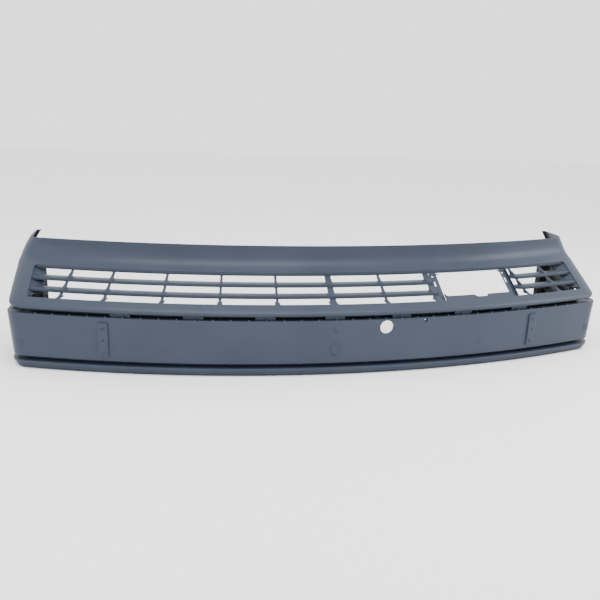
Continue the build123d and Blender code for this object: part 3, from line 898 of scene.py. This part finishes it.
    def build(self) -> None:
        """Make the blades, the webs and the pockets."""
        left, right = self.frame_left, self.frame_right
        inner = self.opening_half - 3
        for index, row in enumerate(("lower", "upper")):
            long = self.blade(f"slat_{row}_long", index, -inner, left + 4, False)
            settle(long, Slot.PRIMER, self.finishes, f"louvre_blade_{row}_long")
            short = self.blade(f"slat_{row}_short", index, right - 1, inner, True)
            settle(short, Slot.PRIMER, self.finishes, f"louvre_blade_{row}_short")
        end = float(BOW.angle(self.opening_half, self.back)) - self.pitch * self.end_bay
        angles = [-end, *[n * self.pitch for n in range(-4, 3)],
                  float(BOW.angle(right + self.tow_web_gap, self.back)), end]
        wide = {6, 8}
        for number, angle in enumerate(angles, start=1):
            thickness = self.wide_web if number in wide else self.web
            piece = self.web_piece(f"slat_web_{number:02d}", angle, thickness)
            settle(piece, Slot.PRIMER, self.finishes, f"louvre_web_{number:02d}")
        for side, word in ((-1.0, "left"), (1.0, "right")):
            settle(self.pocket(f"end_pocket_{word}", side), Slot.PRIMER, self.finishes,
                   f"louvre_end_wall_{word}")


# ---------------------------------------------------------------- towing-eye opening
@dataclass
class TowOpening:
    """Recessed plate round the towing-eye opening, its right side wall and its notched sill."""

    finishes: Finishes
    louvres: Louvres
    recess: float = 8.0
    plate: float = 2.6
    hole_radius: float = 4.0
    slot_length: float = 24.0
    slot_width: float = 6.4
    corner: float = 12.0
    sill_rise: float = 9.0
    notch_from: float = 96.0
    notch_width: float = 51.0
    notch_run: float = 16.0

    @property
    def slope(self) -> float:
        """Slope of the louvre face."""
        return float(np.arctan2(self.louvres.top - self.louvres.bottom, self.louvres.back - self.louvres.front))

    @property
    def length(self) -> float:
        """Length of the louvre face up its slope."""
        return float(np.hypot(self.louvres.top - self.louvres.bottom, self.louvres.back - self.louvres.front))

    def on_slope(self, x: Array, climb: Array, depth: Array) -> Array:
        """Points on the louvre face moved square to it.

        Args:
            x: x of each point.
            climb: millimetres up the slope.
            depth: millimetres below the face.

        Returns:
            Points in millimetres.
        """
        setback = self.louvres.front + climb * np.cos(self.slope) + depth * np.sin(self.slope)
        z = self.louvres.bottom + climb * np.sin(self.slope) - depth * np.cos(self.slope)
        return BOW.at_x(x, setback, z)

    def strip(self, name: str, x0: float, x1: float, hole_x: float) -> bpy.types.Object:
        """Side strip of the plate with a round hole over an upright slot.

        Args:
            name: name of the piece.
            x0: left edge.
            x1: right edge.
            hole_x: x of the hole and the slot.

        Returns:
            The strip.
        """
        mesher = Mesher(name)
        hole_c, slot_c = 0.84 * self.length, 0.60 * self.length
        wide = min(hole_x - x0, x1 - hole_x) - 0.8
        spans = [(hole_c, 7.5, (0.0, 0.0), self.hole_radius),
                 (slot_c, self.slot_length / 2 + 3, (0.0, self.slot_length / 2 - self.slot_width / 2),
                  self.slot_width / 2)]
        for centre, half, core, radius in spans:
            flat = pierced_patch((wide, half), core, radius)
            mesher.grid(self.on_slope(hole_x + flat[..., 0], centre + flat[..., 1], self.recess), around=True)
        xs = np.concatenate([np.linspace(x0, hole_x - wide, 3), np.linspace(hole_x - wide, hole_x + wide, 4)[1:],
                             np.linspace(hole_x + wide, x1, 4)[1:]])
        climbs = np.array([0.0, 20, 40, slot_c - spans[1][1], slot_c + spans[1][1], hole_c - 7.5, hole_c + 7.5,
                           0.97 * self.length])
        in_hole = (xs[:-1] >= hole_x - wide - 0.01) & (xs[1:] <= hole_x + wide + 0.01)
        rows = np.isin(np.arange(len(climbs) - 1), (3, 5))
        keep = ~(rows[:, None] & in_hole[None, :])
        mesher.grid(self.on_slope(xs[None, :], climbs[:, None], self.recess + 0 * xs[None, :]), keep=keep)
        piece = mesher.make((0.0, -1.0, 1.0))
        thicken(piece, self.plate)
        soften(piece, 0.5, 60)
        return piece

    def wall(self, name: str, x: float, lean: float, depth: float) -> bpy.types.Object:
        """Wall beside the opening, from the louvre face back past the plate.

        Args:
            name: name of the piece.
            x: x of its front edge.
            lean: how far its rear edge lies to the right.
            depth: depth below the louvre face.

        Returns:
            The wall.
        """
        climb = np.linspace(0.02, 0.95, 20)[:, None] * self.length
        t = np.linspace(0, 1, 9)[None, :]
        grid = self.on_slope(x + lean * t + 0 * climb, climb + 0 * t, depth * t + 0 * climb)
        piece = Mesher(name).grid(grid).make((1.0, -1.0, 0.0))
        thicken(piece, 2.2)
        soften(piece, 0.6, 60)
        return piece

    def sill(self, x0: float, x1: float) -> bpy.types.Object:
        """Raised strip along the opening's lower edge, with a stepped notch.

        Its height is the sill's rise, less half of it between the notch's sloping ends, and it
        grows by a quarter circle at both ends to round the opening's lower corners.

        Args:
            x0: left end.
            x1: right end.

        Returns:
            The sill.
        """
        x = np.unique(np.concatenate([np.linspace(x0, x1, 90), x0 + self.notch_from + np.array([0.0, 0.5]),
                                      x0 + self.notch_from + self.notch_width + np.array([0.0, 0.5])]))
        from_left = x - x0 - self.notch_from
        inside = smoothstep(from_left / self.notch_run) * (from_left < self.notch_width)
        ends = np.minimum(x - x0, x1 - x)
        short = np.clip(1 - ends / self.corner, 0, 1)
        height = self.sill_rise - 0.5 * self.sill_rise * inside + 0.5 * self.corner * (1 - np.sqrt(1 - short**2))
        up = np.array([0.0, 1.0, 1.0, 0.0])
        in_depth = np.array([0.0, 0.0, 1.0, 1.0]) * 6.0
        climb = height[:, None] / np.sin(self.slope) * up[None, :] - 1.0 * (up[None, :] == 0)
        grid = self.on_slope(x[:, None] + 0 * climb, climb, in_depth[None, :] + 0 * climb)
        piece = Mesher("sill_strip").grid(grid, around=True, capped=True).make()
        soften(piece, 0.9, 50, 3)
        return piece

    def upper_corners(self, x0: float, x1: float) -> bpy.types.Object:
        """Two small webs that round the opening's upper corners.

        Each is the area between the corner's two edges and a quarter circle:
        points (r - r cos a, r - r sin a) joined to the corner.

        Args:
            x0: left edge of the opening.
            x1: right edge of the opening.

        Returns:
            The corner webs.
        """
        mesher = Mesher("opening_corners")
        a = np.linspace(0, np.pi / 2, 9)
        r = self.corner
        arc = np.stack([r - r * np.cos(a), r - r * np.sin(a)], -1)
        point = np.zeros_like(arc)
        for edge, sign in ((x0 - 0.5, 1.0), (x1 + 0.5, -1.0)):
            sheet = np.stack([point, arc], 0)
            x = edge + sign * sheet[..., 0]
            climb = 0.93 * self.length - sheet[..., 1]
            mesher.grid(self.on_slope(x, climb, self.recess + 0 * x))
        piece = mesher.make((0.0, -1.0, 1.0))
        thicken(piece, self.plate)
        return piece

    def build(self) -> None:
        """Make the strips, the right side wall, the sill and the corner webs."""
        x0 = self.louvres.frame_left
        frame = self.louvres.tow_frame
        left, right = x0 + frame, x0 + frame + self.louvres.tow_width
        x1 = self.louvres.frame_right
        settle(self.strip("plate_left", x0, left, x0 + 0.4 * frame), Slot.PRIMER, self.finishes, "tow_frame_left")
        settle(self.strip("plate_right", right, x1, right + 0.3 * frame), Slot.PRIMER, self.finishes,
               "tow_frame_right")
        settle(self.sill(left, right), Slot.PRIMER, self.finishes, "tow_sill")
        settle(self.wall("side_wall_right", x1 - 2, 16.0, 34.0), Slot.PRIMER, self.finishes)
        settle(self.upper_corners(left, right), Slot.PRIMER, self.finishes)


# ---------------------------------------------------------------- carrier and lip
@dataclass
class StripCarrier:
    """Flat band with its ledges, holes and everything that is fixed to its face."""

    finishes: Finishes
    wall: float = 4.0
    bottom: float = 38.0
    top: float = 166.5
    half_width: float = 924.0
    foot: float = 915.0
    corner: float = 46.0
    back: float = 217.5
    ledge: float = 34.0
    edge_radius: float = 2.2
    hole_x: float = 153.0
    hole_z: float = 143.0
    hole_radius: float = 20.0
    small_x: float = 273.0
    small_z: float = 160.0
    small_radius: float = 2.5
    pad_x: float = 650.6
    pad_z: float = 100.95
    pad_width: float = 28.0
    pad_height: float = 102.1
    pad_thickness: float = 5.0
    pad_screw_rise: float = 36.25
    pad_hole: float = 2.75
    screw_radius: float = 6.5
    bridge_pitch: float = 202.0
    bridge_width: float = 58.0
    plug_z: float = 80.0

    def band(self) -> bpy.types.Object:
        """Band and ledges in one sheet, with the round holes cut by pierced patches."""
        r = self.edge_radius
        a = np.linspace(0, np.pi / 2, 5)
        lower = np.stack([self.bottom + r - r * np.cos(a), r - r * np.sin(a)], -1)
        half = self.hole_radius + 1.4
        small = 4.0
        levels = np.unique(np.concatenate([
            [self.hole_z - half, self.hole_z + half, self.small_z - small, self.small_z + small],
            np.linspace(self.bottom + r, self.top - r, 12)]))
        middle = np.stack([levels, 0 * levels], -1)[1:-1]
        upper = np.stack([self.top - r + r * np.sin(a), r - r * np.cos(a)], -1)
        start = np.array([[self.bottom, self.ledge]])
        end = np.array([[self.top, self.ledge]])
        z_in = np.concatenate([start, lower, middle, upper, end])
        share = np.clip((z_in[:, 0] - self.bottom) / (self.top - self.bottom), 0, 1)
        width = self.foot + (self.half_width - self.foot) * share - z_in[:, 1]
        rows = np.stack([z_in[:, 0], z_in[:, 1], width, np.maximum(self.corner - z_in[:, 1], 3.0)], -1)
        points = BOW.outline(rows, self.back)
        piece = Mesher("band_sheet")
        keep = np.ones((len(rows) - 1, points.shape[1] - 1), bool)
        side = BOW.side_steps
        keep[[0, -1], :side - 2] = False
        keep[[0, -1], -side + 2:] = False
        windows = [(self.hole_x, self.hole_z, half, self.hole_radius, 12),
                   (self.small_x, self.small_z, small, self.small_radius, 6)]
        points, keep = self.open_windows(points, keep, rows, windows)
        piece.grid(points, keep=keep)
        for x, z, reach, radius, per_side in windows:
            patch = pierced_patch((reach, reach), (0.0, 0.0), radius, per_side)
            piece.grid(BOW.at_x(x + patch[..., 0], 0.0, z + patch[..., 1]), around=True)
        made = piece.make((0.0, -1.0, 0.0), 0.02, 50)
        thicken(made, self.wall, even=False)
        return made

    @staticmethod
    def open_windows(points: Array, keep: Array, rows: Array, windows: Sequence[tuple]) -> tuple:
        """Insert columns at each window's edges and drop the cells inside it.

        Args:
            points: (rows, columns, 3) band.
            keep: mask of its cells.
            rows: profile rows.
            windows: (x, z, half side, radius, points per side) of each window.

        Returns:
            The widened points and mask.
        """
        for x, _, reach, _, _ in windows:
            for edge in (x - reach, x + reach):
                after = int(np.searchsorted(points[len(rows) // 2, :, 0], edge))
                column = BOW.at_x(edge, rows[:, 1], rows[:, 0])[:, None]
                points = np.concatenate([points[:, :after], column, points[:, after:]], axis=1)
                keep = np.concatenate([keep[:, :after], keep[:, after - 1:after], keep[:, after:]], axis=1)
        mid = (points[:-1, :-1] + points[1:, 1:]) / 2
        for x, z, reach, _, _ in windows:
            inside = (np.abs(mid[..., 0] - x) < reach) & (np.abs(mid[..., 2] - z) < reach)
            inside &= (rows[:-1, 1] == 0)[:, None] & (mid[..., 1] < 100)
            keep = keep & ~inside
        return points, keep

    def pad(self, name: str, x: float) -> bpy.types.Object:
        """Raised plate with rounded corners, a drafted edge and a hole in the middle.

        Args:
            name: name of the piece.
            x: x of its centre.

        Returns:
            The pad.
        """
        mesher = Mesher(name)
        half = (self.pad_width / 2, self.pad_height / 2)
        t = self.pad_thickness
        outer = rounded(np.array([(-half[0], -half[1]), (half[0], -half[1]), (half[0], half[1]),
                                  (-half[0], half[1])]), 3.0, 6)
        inset = np.array([0.0, 0.0, 0.25, 0.8])
        proud = np.array([0.0, t - 1.0, t - 0.3, t])
        scale = 1 - inset[:, None, None] / np.array(half)
        skirt = outer[None] * scale
        mesher.grid(self.on_face(x, skirt[..., 0], self.pad_z + skirt[..., 1], proud[:, None]), around=True)
        face = np.linspace(0, 1, 5)[:, None, None]
        ring = skirt[-1]
        angle = np.arctan2(ring[:, 1] / half[1], ring[:, 0] / half[0])
        hole = self.pad_hole * np.stack([np.cos(angle), np.sin(angle)], -1)
        inner = ring + (hole - ring) * face
        mesher.grid(self.on_face(x, inner[..., 0], self.pad_z + inner[..., 1], t + 0 * inner[..., 0]), around=True)
        well = np.stack([hole, hole])
        mesher.grid(self.on_face(x, well[..., 0], self.pad_z + well[..., 1],
                                 np.array([t, -self.wall])[:, None] + 0 * well[..., 0]), around=True)
        return mesher.make((0.0, -1.0, 0.0), 0.02, 30)

    @staticmethod
    def on_face(x: float, across: Array, z: Array, proud: Array) -> Array:
        """Points beside a place on the bowed face: an arc length across, a height, a rise off it."""
        return BOW.at(BOW.angle(x) + across / BOW.radius, -np.asarray(proud, float) + 0 * across, z)

    def turned(self, mesher: Mesher, x: float, z: float, profile: Sequence[tuple], steps: int = 40,
               lobes: int = 0) -> None:
        """Add a turned form on the face: a (radius, rise) profile carried round its axis.

        Args:
            mesher: mesher that takes the form.
            x: x of its axis.
            z: height of its axis.
            profile: (radius, rise) pairs from the rim to the centre.
            steps: stations round the axis.
            lobes: sides of the drive recess that the innermost rows follow, or 0.
        """
        turn = np.linspace(0, 2 * np.pi, steps, endpoint=False)[None, :]
        line = np.array(profile, float)
        radius = line[:, :1] * np.ones_like(turn)
        if lobes:
            inner = (np.arange(len(line)) >= len(line) - 3)[:, None]
            radius = radius * np.where(inner, 1 - 0.16 * np.cos(lobes * turn), 1.0)
        mesher.grid(self.on_face(x, radius * np.cos(turn), z + radius * np.sin(turn), line[:, 1:]), around=True)

    def screw(self, mesher: Mesher, x: float, z: float, base: float) -> None:
        """Add a domed screw with a washer edge and a six-lobed recess.

        Args:
            mesher: mesher that takes the screw.
            x: x of its axis.
            z: height of its axis.
            base: rise of the surface it sits on.
        """
        r = self.screw_radius
        heights = [(r, 0.0), (r, 0.5), (r - 0.4, 0.9), (0.86 * r, 1.0), (0.84 * r, 1.1), (0.74 * r, 1.9),
                   (0.56 * r, 2.4), (0.42 * r, 2.5), (0.37 * r, 2.45), (0.34 * r, 1.0), (0.05, 0.6)]
        self.turned(mesher, x, z, [(radius, base + rise) for radius, rise in heights], 48, 6)

    def fixings(self) -> None:
        """Make the pads, the screws, the boss, the lug and the plugs."""
        for side, word in ((-1.0, "left"), (1.0, "right")):
            settle(self.pad(f"pad_{word}", side * self.pad_x), Slot.PRIMER, self.finishes,
                   f"fixing_pad_{word}")
        screws = Mesher("pad_screw_heads")
        for side in (-1.0, 1.0):
            for up in (-1.0, 1.0):
                self.screw(screws, side * self.pad_x, self.pad_z + up * self.pad_screw_rise, self.pad_thickness)
        settle(screws.make((0.0, -1.0, 0.0), 0.01, 40), Slot.FIXING, self.finishes, "pad_screws")
        middle = Mesher("centre_screw_heads")
        self.screw(middle, 0.0, self.bottom + 28.0, 0.8)
        self.screw(middle, 0.0, self.top - 27.5, 0.0)
        settle(middle.make((0.0, -1.0, 0.0), 0.01, 40), Slot.FIXING, self.finishes, "centre_screws")
        boss = Mesher("ringed_boss")
        self.turned(boss, 0.0, self.bottom + 42.0, [(16.0, 0.0), (16.0, 0.5), (15.5, 0.8), (13.4, 0.8),
                                                   (13.0, 0.3), (12.2, 0.3), (11.8, 0.8), (0.05, 0.8)], 64)
        settle(boss.make((0.0, -1.0, 0.0), 0.01, 35), Slot.PRIMER, self.finishes, "centre_boss")
        lug = Mesher("square_mark")
        outline = rounded(np.array([(-7.5, -4.65), (7.5, -4.65), (7.5, 4.65), (-7.5, 4.65)]), 1.2, 4)
        scale = np.array([1.0, 1.0, 0.96, 0.84, 0.80, 0.02])[:, None, None]
        rise = np.array([0.0, 0.6, 0.8, 0.8, 0.4, 0.4])[:, None]
        loops = outline[None] * scale
        lug.grid(self.on_face(0.0, loops[..., 0], self.bottom + 65.0 + loops[..., 1],
                              rise + 0 * loops[..., 0]), around=True)
        settle(lug.make((0.0, -1.0, 0.0), 0.01, 35), Slot.PRIMER, self.finishes, "square_lug")
        plugs = Mesher("blanked_holes")
        for x in (-887.0, -465.0, 465.0, 887.0):
            self.turned(plugs, x, self.plug_z, [(11.0, -0.3), (11.0, 0.45), (10.6, 0.7), (9.4, 0.7), (9.0, 0.15),
                                                (5.2, 0.15), (4.8, 0.6), (2.2, 0.75), (0.05, 0.75)], 48)
        settle(plugs.make((0.0, -1.0, 0.0), 0.01, 35), Slot.PRIMER, self.finishes, "hole_plugs")

    def bridges(self) -> None:
        """Make the tabs that join the band to the bulge."""
        for number, step in enumerate(range(-3, 4), start=1):
            middle = float(BOW.angle(step * self.bridge_pitch))
            half = self.bridge_width / 2 / BOW.radius
            section = [(12.0, self.top - 1), (12.0, 179.0), (15.0, 179.0), (15.0, self.top - 1)]
            piece = BOW.bar(f"tab_{number}", section, middle - half, middle + half, 0.6, 8).make()
            soften(piece, 0.6, 60)
            settle(piece, Slot.PRIMER, self.finishes, f"channel_bridge_{number}")

    def build(self) -> None:
        """Make the band, its fixings and the tabs."""
        settle(self.band(), Slot.PRIMER, self.finishes, "strip_carrier", "carrier_lower_ledge",
               "carrier_upper_ledge")
        self.fixings()
        self.bridges()


@dataclass
class SteppedLip:
    """Lip under the band: three rounded steps, two flanges and the groove's back wall."""

    finishes: Finishes
    height: float = 25.0
    proud: float = 4.0
    half_width: float = 918.0
    corner: float = 58.0
    steps: int = 3
    step_back: float = 5.0
    back: float = 217.5
    depth: float = 34.0
    groove: float = 26.0
    carrier_bottom: float = 38.0

    def profile(self) -> Array:
        """Rows of (height, inset) from the base's inner edge round the steps to the groove's top."""
        rise = self.height / self.steps
        corners = [(0.0, self.depth), (0.0, (self.steps - 1) * self.step_back)]
        for i in reversed(range(self.steps)):
            top = self.height - i * rise
            corners.append((top, i * self.step_back))
            if i:
                corners.append((top, (i - 1) * self.step_back))
        corners.append((self.height, self.groove + self.proud))
        line = np.array(corners)
        keep = np.concatenate([[True], np.linalg.norm(np.diff(line, axis=0), axis=1) > 0.01])
        line = line[keep]
        inner = rounded(line, 1.7, 5)
        top = np.array([(self.carrier_bottom, self.groove + self.proud)])
        return np.concatenate([line[:1], inner[5:-5], line[-1:], top])

    def body(self) -> bpy.types.Object:
        """The lip as one sheet carried round the plan outline."""
        line = self.profile()
        rows = np.stack([line[:, 0], line[:, 1] - self.proud, self.half_width - line[:, 1],
                         np.maximum(self.corner - line[:, 1], 4.0)], -1)
        points = BOW.outline(rows, self.back)
        piece = Mesher("lip_sheet").grid(points).make((0.0, -1.0, 0.0), 0.02, 50)
        thicken(piece, 2.4)
        soften(piece, 0.5, 60)
        return piece

    def build(self) -> None:
        """Make the lip."""
        settle(self.body(), Slot.PRIMER, self.finishes, "stepped_lip", "lip_shelf", "lip_base", "groove_web")


# ---------------------------------------------------------------- carried-over CAD nodes
@dataclass
class CarriedNodes:
    """CAD nodes whose shape is right, dressed as they are."""

    finishes: Finishes
    dressed: dict = field(default_factory=lambda: {
        "carrier_top_ribs": Slot.PRIMER, "groove_ribs": Slot.PRIMER,
        # painted shade: the channel liner takes the black plastic finish so that the gap between band and bulge
        # reads dark, where the primed cover only lies in shade
        "channel_liner": Slot.PLASTIC,
        "wing_bracket_left": Slot.PLASTIC, "wing_bracket_right": Slot.PLASTIC,
        "bracket_stay_left": Slot.ZINC, "bracket_stay_right": Slot.ZINC,
        "bracket_bolts": Slot.ZINC, "bracket_spacers": Slot.ZINC})

    def build(self) -> None:
        """Dress each node."""
        for name, slot in self.dressed.items():
            self.finishes.dress(frame["nodes"][name], slot)
            LOG.info("%s keeps its CAD shape, finish %s", name, slot.value)


# ---------------------------------------------------------------- studio
@dataclass
class Studio:
    """Pale floor, soft lights and the camera."""

    place: tuple = (-0.4313, -1.9375, 0.7410)
    azimuth: float = -10.699
    elevation: float = 16.326
    roll: float = 2.100
    lens: float = 39.0
    floor_tone: tuple = (0.93, 0.93, 0.93)
    world_strength: float = 2.0
    soft_boxes: tuple = (("overhead_box", (-0.3, -0.9, 2.4), (0, 0, 0.2), (2.6, 1.2), 60.0, (1.0, 0.97, 0.94)),
                         ("right_box", (2.3, -0.6, 1.3), (0.7, 0, 0.2), (0.7, 1.4), 34.0, (1.0, 0.97, 0.95)),
                         ("left_fill", (-2.4, -1.4, 1.0), (-0.5, 0, 0.2), (1.4, 1.4), 13.0, (0.95, 0.97, 1.0)))

    def camera(self) -> None:
        """Camera whose back, right and up axes follow from its azimuth, elevation and roll."""
        a, e, r = np.radians([self.azimuth, self.elevation, self.roll])
        back = np.array([np.sin(a) * np.cos(e), -np.cos(a) * np.cos(e), np.sin(e)])
        right = np.array([np.cos(a), np.sin(a), 0.0])
        up = np.cross(back, right)
        across = np.cos(r) * right + np.sin(r) * up
        upright = -np.sin(r) * right + np.cos(r) * up
        matrix = Matrix.Identity(4)
        for column, axis in enumerate((across, upright, back)):
            for row in range(3):
                matrix[row][column] = float(axis[row])
        matrix.translation = Vector(self.place)
        data = bpy.data.cameras.new("studio_camera")
        data.lens = self.lens
        data.sensor_width = 36.0
        camera = bpy.data.objects.new("studio_camera", data)
        camera.matrix_world = matrix
        bpy.context.scene.collection.objects.link(camera)
        bpy.context.scene.camera = camera

    def light(self, name: str, place: tuple, target: tuple, size: tuple, power: float,
              colour: tuple = (1.0, 1.0, 1.0)) -> None:
        """One soft box.

        Args:
            name: name of the light.
            place: where it hangs, in metres.
            target: what it looks at.
            size: width and height.
            power: watts.
            colour: linear colour.
        """
        data = bpy.data.lights.new(name, "AREA")
        data.shape = "RECTANGLE"
        data.size, data.size_y = size
        data.energy = power
        data.color = colour
        lamp = bpy.data.objects.new(name, data)
        lamp.location = place
        direction = Vector(target) - Vector(place)
        lamp.rotation_euler = direction.to_track_quat("-Z", "Y").to_euler()
        bpy.context.scene.collection.objects.link(lamp)

    def floor(self) -> None:
        """Pale floor at the object's foot, a flat sheet of one grid with a faint noise in its tone."""
        span = np.linspace(-9000, 9000, 13)
        x, y = np.meshgrid(span, span)
        piece = Mesher("floor").grid(np.stack([x, y, 0 * x], -1)).make((0.0, 0.0, 1.0))
        sheet = NodeSheet("pale_floor")
        tone = self.floor_tone
        shade = tuple(0.985 * value for value in tone)
        sheet.links.new(sheet.ramp(sheet.noise(2.0, 2.0), [(0.3, shade), (0.7, tone)]),
                        sheet.shader.inputs["Base Color"])
        sheet.shader.inputs["Roughness"].default_value = 0.9
        piece.data.materials.append(sheet.material)

    def build(self) -> None:
        """Set the camera, the world, the lights and the floor."""
        self.camera()
        world = bpy.data.worlds.new("studio")
        world.use_nodes = True
        world.node_tree.nodes["Background"].inputs["Color"].default_value = (1.0, 1.0, 1.0, 1.0)
        world.node_tree.nodes["Background"].inputs["Strength"].default_value = self.world_strength
        bpy.context.scene.world = world
        for box in self.soft_boxes:
            self.light(*box)
        self.floor()


def main() -> None:
    """Build every sub-assembly in order."""
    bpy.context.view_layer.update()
    finishes = Finishes()
    ValanceShell(finishes).build()
    louvres = Louvres(finishes)
    louvres.build()
    TowOpening(finishes, louvres).build()
    StripCarrier(finishes).build()
    SteppedLip(finishes).build()
    CarriedNodes(finishes).build()
    Studio().build()


if __name__ == "__main__":
    logging.basicConfig(level=logging.INFO, format="%(message)s")
    main()
